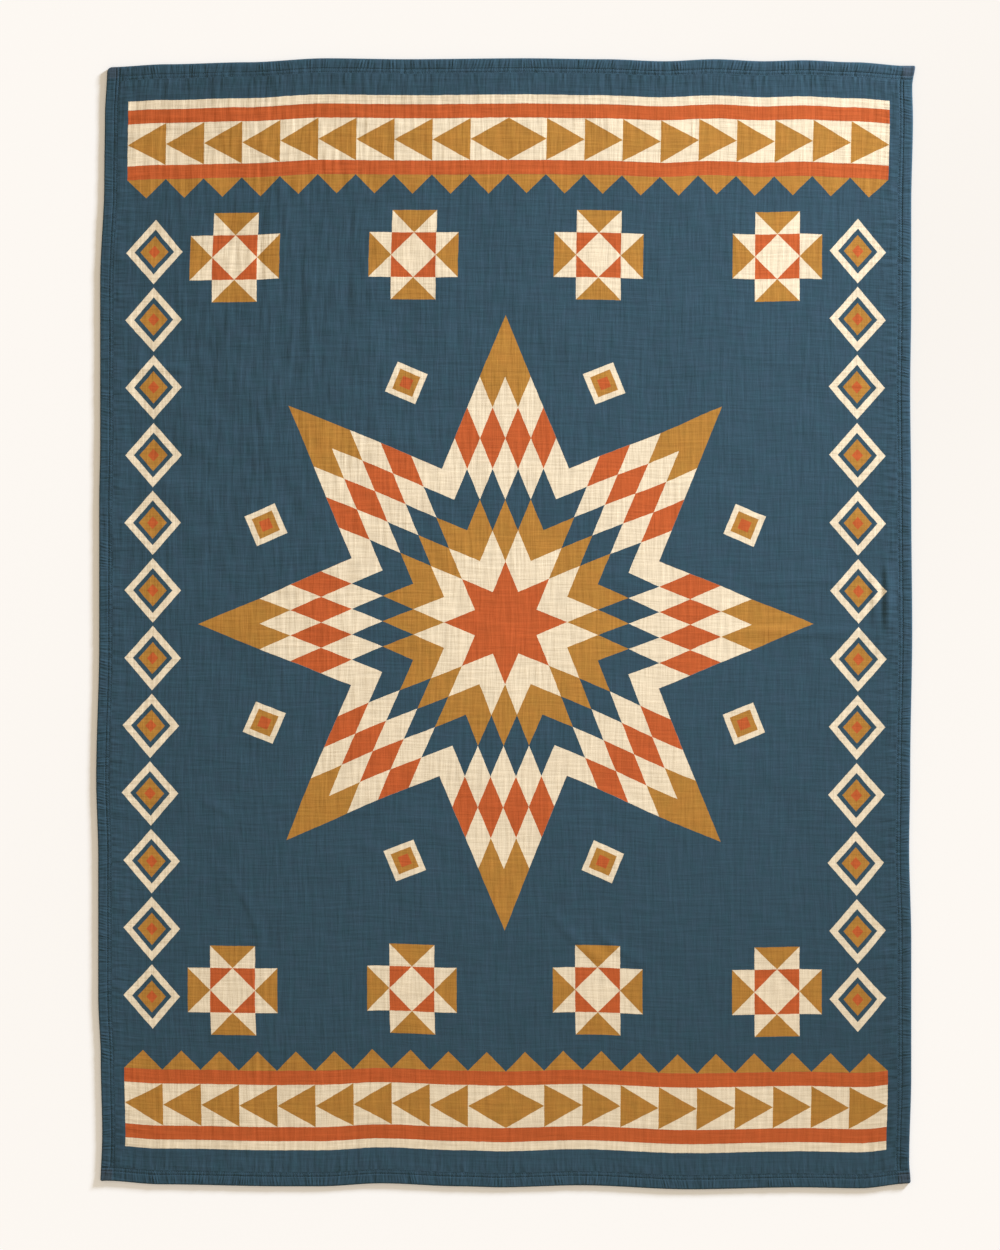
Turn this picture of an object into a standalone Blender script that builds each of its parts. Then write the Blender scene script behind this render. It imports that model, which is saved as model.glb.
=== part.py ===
# Star quilt blanket: one rectangular gauze throw with a turned and topstitched hem, lying flat.
# Metres, +Z up. X runs across the blanket, +Y towards its top end, and the origin is on the
# surface that it lies on, under its middle.
from collections import namedtuple

import bmesh
import bpy
import numpy as np

# Overall size of the cloth as it lies
WIDTH = 1.270
LENGTH = 1.763

# Four layers of crinkled gauze, thicker where the hem is turned under twice
CLOTH_THICKNESS = 0.0028
HEM_THICKNESS = 0.0058
EDGE_THICKNESS = 0.0032
CORNER_THICKNESS = 0.0065
CORNER_ROUNDING = 0.0015

# Distances in from the edge. The two rows of topstitching press grooves with a ridge between them.
EDGE_ROLL = 0.0040
HEM_CROWN = 0.0125
OUTER_STITCH = 0.0150
STITCH_RIDGE = 0.0172
INNER_STITCH = 0.0195
STITCH_THICKNESS = 0.0036
RIDGE_THICKNESS = 0.0048

CLOTH_COLOUR = (0.043, 0.083, 0.111, 1.0)
CLOTH_ROUGHNESS = 0.9

HemStation = namedtuple("HemStation", "inset thickness")
HEM_PROFILE = [
    HemStation(0.0, EDGE_THICKNESS),
    HemStation(EDGE_ROLL, HEM_THICKNESS),
    HemStation(HEM_CROWN, HEM_THICKNESS),
    HemStation(OUTER_STITCH, STITCH_THICKNESS),
    HemStation(STITCH_RIDGE, RIDGE_THICKNESS),
    HemStation(INNER_STITCH, CLOTH_THICKNESS),
]

# Spans of the grid between the two inner stitch rows: closer where the cloth has folds
Spans = namedtuple("Spans", "until count")
ACROSS_SPANS = [
    Spans(-0.48, 5),
    Spans(-0.20, 18),
    Spans(0.05, 5),
    Spans(0.25, 11),
    Spans(WIDTH / 2 - INNER_STITCH, 9),
]
ALONG_SPANS = [
    Spans(-0.60, 6),
    Spans(-0.27, 18),
    Spans(-0.06, 4),
    Spans(0.09, 9),
    Spans(0.27, 5),
    Spans(0.60, 15),
    Spans(LENGTH / 2 - INNER_STITCH, 7),
]

# How far each edge lies outside its straight line, at places along that edge
EdgeStation = namedtuple("EdgeStation", "along out")
LEFT_EDGE = [
    EdgeStation(-0.8815, -0.0018),
    EdgeStation(-0.8080, -0.0038),
    EdgeStation(-0.6900, -0.0015),
    EdgeStation(-0.5900, 0.0024),
    EdgeStation(-0.3700, 0.0024),
    EdgeStation(-0.2450, 0.0056),
    EdgeStation(-0.0300, 0.0009),
    EdgeStation(0.1900, 0.0009),
    EdgeStation(0.2900, -0.0007),
    EdgeStation(0.5400, -0.0007),
    EdgeStation(0.7000, -0.0070),
    EdgeStation(0.8000, -0.0080),
    EdgeStation(0.8815, -0.0117),
]
RIGHT_EDGE = [
    EdgeStation(-0.8815, -0.0010),
    EdgeStation(-0.8470, -0.0032),
    EdgeStation(-0.7100, 0.0000),
    EdgeStation(-0.5000, 0.0000),
    EdgeStation(-0.3540, -0.0032),
    EdgeStation(-0.2300, -0.0016),
    EdgeStation(-0.0100, 0.0015),
    EdgeStation(0.1900, 0.0000),
    EdgeStation(0.3700, -0.0016),
    EdgeStation(0.5100, 0.0000),
    EdgeStation(0.6600, 0.0000),
    EdgeStation(0.8000, 0.0027),
    EdgeStation(0.8500, 0.0015),
    EdgeStation(0.8815, 0.0050),
]
BOTTOM_EDGE = [
    EdgeStation(-0.635, -0.0094),
    EdgeStation(-0.540, -0.0031),
    EdgeStation(-0.350, 0.0000),
    EdgeStation(-0.290, 0.0000),
    EdgeStation(-0.196, -0.0047),
    EdgeStation(-0.071, 0.0000),
    EdgeStation(-0.008, 0.0016),
    EdgeStation(0.116, -0.0016),
    EdgeStation(0.289, 0.0047),
    EdgeStation(0.461, 0.0016),
    EdgeStation(0.555, 0.0031),
    EdgeStation(0.635, -0.0047),
]
TOP_EDGE = [
    EdgeStation(-0.635, -0.0117),
    EdgeStation(-0.540, -0.0070),
    EdgeStation(-0.415, -0.0039),
    EdgeStation(-0.290, 0.0023),
    EdgeStation(-0.165, 0.0008),
    EdgeStation(0.023, 0.0023),
    EdgeStation(0.148, 0.0008),
    EdgeStation(0.242, -0.0023),
    EdgeStation(0.320, 0.0008),
    EdgeStation(0.399, -0.0023),
    EdgeStation(0.461, -0.0008),
    EdgeStation(0.539, -0.0039),
    EdgeStation(0.635, -0.0105),
]

# Soft folds that lift the cloth off the surface. Each runs from one point to another, with its
# middle bowed to the left of that way, and fades to nothing at its sides and ends.
Fold = namedtuple("Fold", "name x0 y0 x1 y1 bow half_width height")
FOLDS = [
    Fold("top furrow", -0.381, 0.757, -0.381, 0.491, 0.002, 0.022, 0.0012),
    Fold("long top furrow", -0.309, 0.624, -0.307, 0.342, -0.004, 0.022, 0.0015),
    Fold("inner top furrow", -0.240, 0.608, -0.238, 0.436, 0.002, 0.021, 0.0012),
    Fold("short top furrow", -0.421, 0.593, -0.420, 0.444, 0.000, 0.021, 0.0009),
    Fold("left corner ripple", -0.616, 0.792, -0.450, 0.782, 0.004, 0.024, 0.0011),
    Fold("left upper ripple", -0.612, 0.506, -0.455, 0.503, 0.004, 0.022, 0.0009),
    Fold("left middle ripple", -0.612, 0.400, -0.473, 0.393, -0.003, 0.022, 0.0012),
    Fold("left lower ripple", -0.528, 0.313, -0.334, 0.291, -0.005, 0.022, 0.0010),
    Fold("right long ripple", 0.286, -0.014, 0.618, -0.018, 0.004, 0.023, 0.0015),
    Fold("right upper ripple", 0.374, 0.064, 0.574, 0.072, -0.003, 0.022, 0.0011),
    Fold("left short crease", -0.490, -0.271, -0.415, -0.309, 0.003, 0.022, 0.0013),
    Fold("left curved crease", -0.473, -0.357, -0.379, -0.561, 0.026, 0.022, 0.0018),
    Fold("right curved crease", 0.051, -0.429, 0.192, -0.556, -0.012, 0.022, 0.0017),
    Fold("right inner crease", 0.129, -0.462, 0.242, -0.540, -0.012, 0.021, 0.0015),
    Fold("bottom corner lump", -0.609, -0.814, -0.479, -0.838, 0.006, 0.030, 0.0015),
]


def eased(rows, along):
    """The out value at each place along an edge, easing from one row of its table to the next."""
    places = np.array([row.along for row in rows])
    outs = np.array([row.out for row in rows])
    along = np.clip(along, places[0], places[-1])
    after = np.clip(np.searchsorted(places, along), 1, len(rows) - 1)
    share = (along - places[after - 1]) / (places[after] - places[after - 1])
    share = share * share * (3 - 2 * share)
    return outs[after - 1] + (outs[after] - outs[after - 1]) * share


def stations(half, spans):
    """Places of the grid lines across one side of the flat cloth: both hems, and the spans between."""
    insets = np.array([row.inset for row in HEM_PROFILE])
    lines = list(insets - half)
    for span in spans:
        lines += list(np.linspace(lines[-1], span.until, span.count + 1)[1:])
    return np.array(lines + list(half - insets[-2::-1]))


def lying_place(x, y):
    """Where a point of the flat, straight cloth lies once its edges take their uneven lines."""
    right_share = x / WIDTH + 0.5
    top_share = y / LENGTH + 0.5
    left_pull = eased(LEFT_EDGE, y) * (1 - right_share)
    bottom_pull = eased(BOTTOM_EDGE, x) * (1 - top_share)
    lying_x = x + eased(RIGHT_EDGE, y) * right_share - left_pull
    lying_y = y + eased(TOP_EDGE, x) * top_share - bottom_pull
    return lying_x, lying_y


def fold_lift(x, y):
    """Height of the cloth's underside: a rounded ridge along each fold, and zero between them."""
    lift = np.zeros_like(x)
    for fold in FOLDS:
        way = np.array([fold.x1 - fold.x0, fold.y1 - fold.y0])
        length = np.hypot(*way)
        way /= length
        along = ((x - fold.x0) * way[0] + (y - fold.y0) * way[1]) / length
        centred = np.clip(2 * along - 1, -1, 1)
        across = (y - fold.y0) * way[0] - (x - fold.x0) * way[1]
        across -= fold.bow * (1 - centred**2)
        side = np.clip(across / fold.half_width, -1, 1)
        lift += fold.height * (1 - side**2) ** 2 * (1 - centred**4) ** 2
    return lift


def cloth_thickness(x, y):
    """Thickness by the distance in from the nearest edge, and more where two hems cross."""
    insets = [row.inset for row in HEM_PROFILE]
    thicknesses = [row.thickness for row in HEM_PROFILE]
    side_inset = WIDTH / 2 - abs(x)
    end_inset = LENGTH / 2 - abs(y)
    nearest = np.minimum(side_inset, end_inset)
    crossing = (np.maximum(side_inset, end_inset) <= HEM_CROWN + 1e-6) & (nearest > 0)
    return np.where(crossing, CORNER_THICKNESS, np.interp(nearest, insets, thicknesses))


def gauze_material():
    material = bpy.data.materials.new("blue_gauze")
    material.use_nodes = True
    surface = material.node_tree.nodes["Principled BSDF"]
    surface.inputs["Base Color"].default_value = CLOTH_COLOUR
    surface.inputs["Roughness"].default_value = CLOTH_ROUGHNESS
    surface.inputs["Metallic"].default_value = 0.0
    return material


def blanket(collection):
    """The underside as a grid that takes the cloth's lines and folds, thickened upwards."""
    across = stations(WIDTH / 2, ACROSS_SPANS)
    along = stations(LENGTH / 2, ALONG_SPANS)
    grid = bmesh.new()
    bmesh.ops.create_grid(
        grid, x_segments=len(across) - 1, y_segments=len(along) - 1, size=1.0
    )
    unit = np.array([vertex.co for vertex in grid.verts])
    column = np.rint((unit[:, 0] + 1) / 2 * (len(across) - 1)).astype(int)
    row = np.rint((unit[:, 1] + 1) / 2 * (len(along) - 1)).astype(int)
    flat_x = across[column]
    flat_y = along[row]
    x, y = lying_place(flat_x, flat_y)
    corner = (abs(flat_x) == WIDTH / 2) & (abs(flat_y) == LENGTH / 2)
    x -= np.where(corner, CORNER_ROUNDING * np.sign(x), 0)
    y -= np.where(corner, CORNER_ROUNDING * np.sign(y), 0)
    x -= (x.min() + x.max()) / 2
    y -= (y.min() + y.max()) / 2
    for vertex, place in zip(grid.verts, zip(x, y, fold_lift(x, y))):
        vertex.co = place
    mesh = bpy.data.meshes.new("blanket")
    grid.to_mesh(mesh)
    grid.free()
    mesh.materials.append(gauze_material())
    mesh.shade_smooth()

    cloth = bpy.data.objects.new("blanket", mesh)
    collection.objects.link(cloth)
    thickness = cloth.vertex_groups.new(name="thickness")
    shares = cloth_thickness(flat_x, flat_y) / CORNER_THICKNESS
    for index, share in enumerate(shares):
        thickness.add([index], float(share), "REPLACE")
    layers = cloth.modifiers.new("layers of gauze", "SOLIDIFY")
    layers.thickness = CORNER_THICKNESS
    layers.offset = 1.0
    layers.vertex_group = thickness.name
    return cloth


def main():
    for leftover in list(bpy.data.objects):
        bpy.data.objects.remove(leftover, do_unlink=True)
    collection = bpy.data.collections.new("star_quilt_blanket")
    bpy.context.scene.collection.children.link(collection)
    blanket(collection)


main()
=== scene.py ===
import bpy
import numpy as np
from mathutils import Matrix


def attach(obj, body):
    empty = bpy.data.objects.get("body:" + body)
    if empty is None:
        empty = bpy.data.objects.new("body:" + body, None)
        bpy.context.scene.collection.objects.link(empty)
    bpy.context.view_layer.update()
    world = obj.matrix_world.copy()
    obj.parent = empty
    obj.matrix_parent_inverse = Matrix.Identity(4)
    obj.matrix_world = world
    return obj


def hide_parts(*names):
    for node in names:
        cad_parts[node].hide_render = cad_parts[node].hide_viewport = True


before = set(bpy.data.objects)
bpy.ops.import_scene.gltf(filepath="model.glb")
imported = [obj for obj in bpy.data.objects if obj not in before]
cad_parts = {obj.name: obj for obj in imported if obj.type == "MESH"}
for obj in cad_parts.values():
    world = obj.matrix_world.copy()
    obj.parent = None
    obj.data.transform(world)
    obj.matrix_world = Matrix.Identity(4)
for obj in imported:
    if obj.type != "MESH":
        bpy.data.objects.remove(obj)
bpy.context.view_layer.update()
print("frame loaded, nodes:", sorted(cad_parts))

# Everything is in metres. s runs across the flat cloth and t along it, both from its middle.
cloth = {
    "width": 1.270,
    "length": 1.763,
    "thickness": 0.0028,
    "cellsAcross": 320,
    "cellsAlong": 288,
    "undersideEvery": 4,  # the underside has one line for this many of the face
    "undersideLift": 0.8,  # the share of a ridge that lifts the underside too
    "undersideGap": 0.0002,
    "fieldInset": 0.0165,  # the field runs in under the hem as far as this from the edge
    "tuck": 0.0015,  # how far a covered edge dips under what lies on it
    "thinnest": 0.0012,
    # stretches where narrow folds ask for closer lines: from, to, and how many more
    "closerFade": 0.010,
    "closerAcross": ((-0.440, -0.215, 0.5), (0.565, 0.620, 1.0), (-0.480, -0.385, 0.3)),
    "closerAlong": ((0.375, 0.415, 1.6), (0.755, 0.800, 1.4), (-0.035, 0.085, 1.0),
                    (-0.560, -0.430, 0.9), (-0.315, -0.265, 1.0), (0.490, 0.515, 0.8)),
}

# How far each edge lies outside its straight line: places along the edge, and the distance out
outline = {
    "left": (
        (-0.8815, -0.8080, -0.6900, -0.5900, -0.3700, -0.2450, -0.0300,
         0.1900, 0.2900, 0.5400, 0.7000, 0.8000, 0.8815),
        (-0.0018, -0.0038, -0.0015, 0.0024, 0.0024, 0.0056, 0.0009,
         0.0009, -0.0007, -0.0007, -0.0070, -0.0080, -0.0117),
    ),
    "right": (
        (-0.8815, -0.8470, -0.7100, -0.5000, -0.3540, -0.2300, -0.0100,
         0.1900, 0.3700, 0.5100, 0.6600, 0.8000, 0.8500, 0.8815),
        (-0.0010, -0.0032, 0.0, 0.0, -0.0032, -0.0016, 0.0015,
         0.0, -0.0016, 0.0, 0.0, 0.0027, 0.0015, 0.0050),
    ),
    "bottom": (
        (-0.635, -0.540, -0.350, -0.290, -0.196, -0.071, -0.008,
         0.116, 0.289, 0.461, 0.555, 0.635),
        (-0.0094, -0.0031, 0.0, 0.0, -0.0047, 0.0, 0.0016,
         -0.0016, 0.0047, 0.0016, 0.0031, -0.0047),
    ),
    "top": (
        (-0.635, -0.540, -0.415, -0.290, -0.165, 0.023, 0.148,
         0.242, 0.320, 0.399, 0.461, 0.539, 0.635),
        (-0.0117, -0.0070, -0.0039, 0.0023, 0.0008, 0.0023, 0.0008,
         -0.0023, 0.0008, -0.0023, -0.0008, -0.0039, -0.0105),
    ),
    # radius of each corner, and how far its point stands out along both edges
    "corners": {(-1, 1): (0.0090, 0.0), (1, 1): (0.0035, 0.0015),
                (-1, -1): (0.0030, 0.0010), (1, -1): (0.0040, 0.0)},
    "pointReach": 0.012,  # how far from the corner its point begins to stand out
}

# Soft folds: start, end, bow to the left of that way, half width on its left and on its right,
# and height. Minus is a trough.
folds = {
    "top furrow": (-0.383, 0.742, -0.383, 0.507, 0.002, 0.008, 0.012, -0.00120),
    "long furrow": (-0.321, 0.616, -0.321, 0.350, -0.002, 0.008, 0.010, -0.00046),
    "long ridge": (-0.307, 0.616, -0.307, 0.350, -0.002, 0.012, 0.010, 0.00060),
    "inner furrow": (-0.246, 0.600, -0.246, 0.444, 0.001, 0.008, 0.019, -0.00072),
    "short furrow": (-0.4215, 0.585, -0.4215, 0.452, 0.000, 0.010, 0.012, -0.00043),
    "corner ripple": (-0.615, 0.7915, -0.454, 0.7915, 0.001, 0.008, 0.007, 0.00080),
    "corner lower ripple": (-0.612, 0.7775, -0.460, 0.7765, 0.001, 0.008, 0.007, 0.00052),
    "corner last ripple": (-0.610, 0.7620, -0.470, 0.7610, 0.001, 0.009, 0.008, 0.00042),
    "left upper ripple": (-0.615, 0.505, -0.450, 0.500, 0.004, 0.014, 0.012, 0.00040),
    "left middle ripple": (-0.611, 0.401, -0.478, 0.399, -0.001, 0.010, 0.008, 0.00095),
    "left middle furrow": (-0.605, 0.388, -0.490, 0.387, -0.001, 0.007, 0.010, -0.00052),
    "left lower ripple": (-0.530, 0.306, -0.380, 0.296, -0.003, 0.012, 0.011, 0.00034),
    "right long ripple": (0.289, -0.014, 0.610, -0.017, 0.002, 0.013, 0.012, 0.00098),
    "right upper ripple": (0.375, 0.067, 0.571, 0.070, -0.002, 0.013, 0.011, 0.00062),
    "left curved crease": (-0.4684, -0.3665, -0.3807, -0.5512, 0.027, 0.016, 0.0075, 0.00071),
    "left short crease": (-0.4825, -0.2770, -0.4246, -0.3040, 0.003, 0.014, 0.008, 0.00068),
    "right curved crease": (0.0574, -0.4370, 0.1873, -0.5512, -0.010, 0.016, 0.008, 0.00078),
    "right inner crease": (0.1341, -0.4682, 0.2343, -0.5355, -0.012, 0.014, 0.008, 0.00082),
    "corner lump": (-0.600, -0.822, -0.480, -0.838, 0.006, 0.020, 0.018, 0.00060),
    "fan ridge": (0.597, 0.100, 0.597, -0.018, 0.000, 0.016, 0.008, 0.00255),
    "fan inner ridge": (0.574, 0.085, 0.578, -0.010, 0.002, 0.010, 0.008, 0.00100),
    "fan hem ridge": (0.614, 0.070, 0.6175, 0.008, 0.001, 0.006, 0.005, 0.00045),
    "fan low ridge": (0.603, -0.020, 0.595, -0.075, -0.002, 0.006, 0.005, 0.00030),
    "fan last ridge": (0.590, -0.024, 0.578, -0.072, -0.002, 0.007, 0.006, 0.00028),
    "lengthways press line": (0.000, 0.850, 0.001, -0.850, 0.001, 0.006, 0.005, -0.00008),
    "crossways press line": (-0.610, 0.003, 0.610, 0.002, 0.001, 0.006, 0.005, -0.00007),
}


def easedOut(name, along):
    # smoothstep from one place of an edge's table to the next
    places, outs = (np.array(row) for row in outline[name])
    along = np.clip(along, places[0], places[-1])
    after = np.clip(np.searchsorted(places, along), 1, len(places) - 1)
    share = (along - places[after - 1]) / (places[after] - places[after - 1])
    share = share * share * (3 - 2 * share)
    return outs[after - 1] + (outs[after] - outs[after - 1]) * share


def pulledPlace(s, t):
    # each edge's distance out, weighted by how near the point is to that edge
    rightShare = s / cloth["width"] + 0.5
    topShare = t / cloth["length"] + 0.5
    x = s + easedOut("right", t) * rightShare - easedOut("left", t) * (1 - rightShare)
    y = t + easedOut("top", s) * topShare - easedOut("bottom", s) * (1 - topShare)
    return x, y


def edgeMiddle():
    # the middle of the box round the lying cloth, which is the origin of the part
    half = np.array([cloth["width"], cloth["length"]]) / 2
    run = np.linspace(-1, 1, 2001)
    s = np.concatenate([run * half[0], run * half[0], run * 0 - half[0], run * 0 + half[0]])
    t = np.concatenate([run * 0 - half[1], run * 0 + half[1], run * half[1], run * half[1]])
    x, y = pulledPlace(s, t)
    return (x.min() + x.max()) / 2, (y.min() + y.max()) / 2


middle = edgeMiddle()


def roundedCorner(s, t):
    # a square's corner turned into a quarter disc: a' = a sqrt(1 - b b / 2), and b' likewise,
    # then its point pulled out by exp(-distance / reach)
    for (sideS, sideT), (radius, point) in outline["corners"].items():
        insetS = cloth["width"] / 2 - s * sideS
        insetT = cloth["length"] / 2 - t * sideT
        a = np.clip(1 - insetS / radius, 0, 1)
        b = np.clip(1 - insetT / radius, 0, 1)
        s = s + sideS * radius * a * (np.sqrt(1 - b * b / 2) - 1)
        t = t + sideT * radius * b * (np.sqrt(1 - a * a / 2) - 1)
        pull = point * np.exp(-np.hypot(insetS, insetT) / outline["pointReach"])
        s = s + sideS * pull
        t = t + sideT * pull
    return s, t


def lyingPlace(s, t):
    # where a point of the flat cloth lies, seen from above
    x, y = pulledPlace(*roundedCorner(s, t))
    return x - middle[0], y - middle[1]


def foldLift(x, y):
    # each fold: height (1 - side^2)^2 (1 - along^4)^2, side and along being 1 at its rims
    lift = np.zeros_like(x)
    for x0, y0, x1, y1, bow, leftWidth, rightWidth, height in folds.values():
        length = np.hypot(x1 - x0, y1 - y0)
        wayX, wayY = (x1 - x0) / length, (y1 - y0) / length
        along = ((x - x0) * wayX + (y - y0) * wayY) / length
        centred = np.clip(2 * along - 1, -1, 1)
        across = (y - y0) * wayX - (x - x0) * wayY - bow * (1 - centred**2)
        side = np.clip(across / np.where(across > 0, leftWidth, rightWidth), -1, 1)
        lift += height * (1 - side**2) ** 2 * (1 - centred**4) ** 2
    return lift


# Crinkle of the washed gauze: wave length across and along, height, and how strongly it shows
# everywhere and how much more in each kind of place
crinkle = {
    "ribs": {"seed": 11, "waves": (0.013, 0.070), "height": 0.000095,
             "shows": {"everywhere": 0.65, "upperLeft": 1.0, "ends": 0.7}},
    "cords": {"seed": 12, "waves": (0.070, 0.016), "height": 0.000075,
              "shows": {"everywhere": 0.7, "lowerHalf": 0.3, "rippled": 1.0}},
    "soft": {"seed": 13, "waves": (0.036, 0.052), "height": 0.00009,
             "shows": {"everywhere": 0.5, "upperLeft": 1.6, "ends": 0.3}},
    "broad": {"seed": 14, "waves": (0.120, 0.100), "height": 0.00022,
              "shows": {"everywhere": 0.7, "upperLeft": 1.0}},
}
crinklePlaces = {
    # each pair: where it begins and where it is full
    "left": (0.25, -0.45),
    "upper": (-0.35, 0.35),
    "ends": (0.55, 0.75),
    "lowerHalf": (0.1, -0.4),
    # where fine ripples run across: middle, reach across and along, and how much more
    "rippled": [(-0.157, -0.307, 0.050, 0.110, 1.2), (0.180, -0.300, 0.055, 0.120, 1.2),
                (0.440, -0.150, 0.045, 0.320, 0.9)],
}
noiseStep = 0.002
noiseSize = (960, 720)  # samples along and across, a little more than the cloth
noiseBand = 0.45  # spread of the wave lengths that are kept, as a share of the one asked for


def noiseSheet(seed, waves):
    # white noise that keeps the waves near the lengths asked for, with a spread of 1
    spectrum = np.fft.rfft2(np.random.default_rng(seed).standard_normal(noiseSize))
    perAcross = np.fft.rfftfreq(noiseSize[1], noiseStep)[None, :] * waves[0]
    perAlong = np.fft.fftfreq(noiseSize[0], noiseStep)[:, None] * waves[1]
    radius = np.hypot(perAcross, perAlong)
    sheet = np.fft.irfft2(spectrum * np.exp(-(((radius - 1) / noiseBand) ** 2)), s=noiseSize)
    return sheet / sheet.std()


def readSheet(sheet, s, t):
    # straight-line reading between the four samples round a point
    column = np.clip(s / noiseStep + noiseSize[1] / 2, 0, noiseSize[1] - 1.001)
    row = np.clip(t / noiseStep + noiseSize[0] / 2, 0, noiseSize[0] - 1.001)
    left, below = column.astype(int), row.astype(int)
    across, up = column - left, row - below
    low = sheet[below, left] * (1 - across) + sheet[below, left + 1] * across
    high = sheet[below + 1, left] * (1 - across) + sheet[below + 1, left + 1] * across
    return low * (1 - up) + high * up


crinkleSheets = {name: noiseSheet(row["seed"], row["waves"]) for name, row in crinkle.items()}


def smooth(low, high, value):
    # smoothstep: 0 at low and 1 at high, which may also be the smaller of the two
    share = np.clip((value - low) / (high - low), 0, 1)
    return share * share * (3 - 2 * share)


def crinkleHeight(s, t):
    # sum of the noise sheets, each times its height and how strongly it shows at the point
    here = {
        "everywhere": 1.0,
        "upperLeft": smooth(*crinklePlaces["left"], s) * smooth(*crinklePlaces["upper"], t),
        "ends": smooth(*crinklePlaces["ends"], np.abs(t)),
        "lowerHalf": smooth(*crinklePlaces["lowerHalf"], t),
        "rippled": sum(more * np.exp(-(((s - x) / wide) ** 2) - ((t - y) / tall) ** 2)
                       for x, y, wide, tall, more in crinklePlaces["rippled"]),
    }
    height = np.zeros_like(s)
    for name, row in crinkle.items():
        share = sum(more * here[place] for place, more in row["shows"].items())
        height += row["height"] * share * readSheet(crinkleSheets[name], s, t)
    return height


hem = {
    "edgeHeight": 0.0016,  # height of the outermost line of the rolled edge
    "roll": 0.0020,  # how far in the roll reaches the crown
    # how thick it is at each distance in from the edge, the two stitched grooves aside
    "places": (0.0, 0.0026, 0.0060, 0.0120, 0.0150, 0.0205, 0.0285, 0.0700, 0.1800),
    "heights": (0.0050, 0.0052, 0.00507, 0.00485, 0.00458, 0.0045, 0.00425, 0.0037, 0.0028),
    "outerStitch": (0.0155, 0.0012, 0.00060),  # place, half width and depth of the groove
    "innerStitch": (0.0206, 0.0011, 0.00042),
    "wide": {"left": 0.96, "right": 0.98, "bottom": 1.02, "top": 1.04},  # each hem's width
    # how much lower each outer edge lies than the crown, and how far in that reaches
    "edgeDrop": {"left": 0.0, "right": 0.0009, "bottom": 0.0, "top": 0.0012},
    "dropReach": 0.0095,
    "inner": (0.0205, 0.0235),  # distances in between which the hem goes over into the field
    "crossing": (0.0215, 0.0180),  # distances in at which the corner square begins and is full
    "crossingExtra": 0.0007,
    "cornerDeeper": (0.7, 0.045),  # how much deeper the grooves are at a corner, and its reach
    # 1 at corners where the end's hem crosses over the side's, 0 where it is under it
    "endOver": {(-1, -1): 1.0, (1, -1): 1.0, (1, 1): 1.0, (-1, 1): 0.0},
    # places under the strip, and the share of the tuck by which the field is down there
    "dip": ((0.0200, 0.0217, 0.0223, 0.0229), (1.0, 0.30, 0.008, 0.0)),
    "cover": (0.0224, 0.0245),  # the strip dips under the field from the first to the second
    "calm": (0.030, 0.25),  # how far in folds and crinkle are weaker, and the crinkle's least
}

# Small folds that the stitches draw the hem and its margin into
pucker = {
    "height": {"left": 0.00050, "right": 0.00040, "bottom": 0.00048, "top": 0.00047},
    "waves": (0.0095, 0.0200),  # on the hem, and in the field just inside it
    "firstSeed": 40,
    "samples": 4096,
    "step": 0.0005,
    "band": 0.5,  # spread of the wave lengths that are kept
    "lean": (0.25, 31.0),  # how much they slant, and how fast that changes along the hem
    # distance in, reach and share: on the crown, and on the ridge between the stitches
    "onHem": ((0.0080, 0.006, 1.0), (0.0178, 0.002, 0.55)),
    "inside": (0.0205, 0.027, 0.018, 0.7),  # where it begins and is full, its fade and share
    # where each hem's puckers are strongest along it, how far that reaches and how much more
    "fan": {"left": (0.30, 0.25, 0.4), "right": (0.05, 0.06, 1.2),
            "bottom": (-0.25, 0.20, 0.3), "top": (0.35, 0.15, 0.5)},
}


def hemThickness(inset, drop, toCorner):
    # straight runs from place to place, less drop (1 - inset/reach)^2 at the outer edge and a
    # groove (1 - side^2)^2 at each row of stitches, which is deeper near a corner
    thick = np.interp(inset, hem["places"], hem["heights"])
    thick = thick - drop * np.clip(1 - inset / hem["dropReach"], 0, 1) ** 2
    more, reach = hem["cornerDeeper"]
    deeper = 1 + more * np.exp(-((toCorner / reach) ** 2))
    for place, halfWidth, depth in (hem["outerStitch"], hem["innerStitch"]):
        side = np.clip((inset - place) / halfWidth, -1, 1)
        thick = thick - depth * deeper * (1 - side**2) ** 2
    return thick


def puckerLine(seed, wave):
    # size of a band of waves, so that its rounded bumps meet in sharp valleys
    count, step = pucker["samples"], pucker["step"]
    spectrum = np.fft.rfft(np.random.default_rng(seed).standard_normal(count))
    radius = np.fft.rfftfreq(count, step) * wave
    line = np.fft.irfft(spectrum * np.exp(-(((radius - 1) / pucker["band"]) ** 2)), count)
    line = np.abs(line / line.std())
    return (np.arange(count) - count / 2) * step, line - line.mean()


puckerLines = {key: [puckerLine(pucker["firstSeed"] + index + 4 * kind, wave)
                     for kind, wave in enumerate(pucker["waves"])]
               for index, key in enumerate(pucker["height"])}


def puckerHeight(name, along, inset):
    # a line of bumps on the hem, share exp(-((inset - place)/reach)^2) at each of two places,
    # and a coarser line inside it that fades as exp(-distance/fade)
    fine, wide = puckerLines[name]
    lean, turns = pucker["lean"]
    slanted = along + lean * inset * np.sin(along * turns + len(name))
    onHem = sum(share * np.exp(-(((inset - place) / reach) ** 2))
                for place, reach, share in pucker["onHem"])
    start, full, fade, share = pucker["inside"]
    inside = share * smooth(start, full, inset) * np.exp(-(inset - start) / fade)
    at, reach, more = pucker["fan"][name]
    inside = inside * (1 + more * np.exp(-(((along - at) / reach) ** 2)))
    return pucker["height"][name] * (onHem * np.interp(slanted, *fine)
                                     + inside * np.interp(slanted, *wide))


def insets(s, t):
    # how far in from the nearer side and the nearer end, in widths of that hem
    wide = hem["wide"]
    insetS = cloth["width"] / 2 - np.abs(s)
    insetT = cloth["length"] / 2 - np.abs(t)
    return (insetS / np.where(s < 0, wide["left"], wide["right"]),
            insetT / np.where(t < 0, wide["bottom"], wide["top"]))


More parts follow.
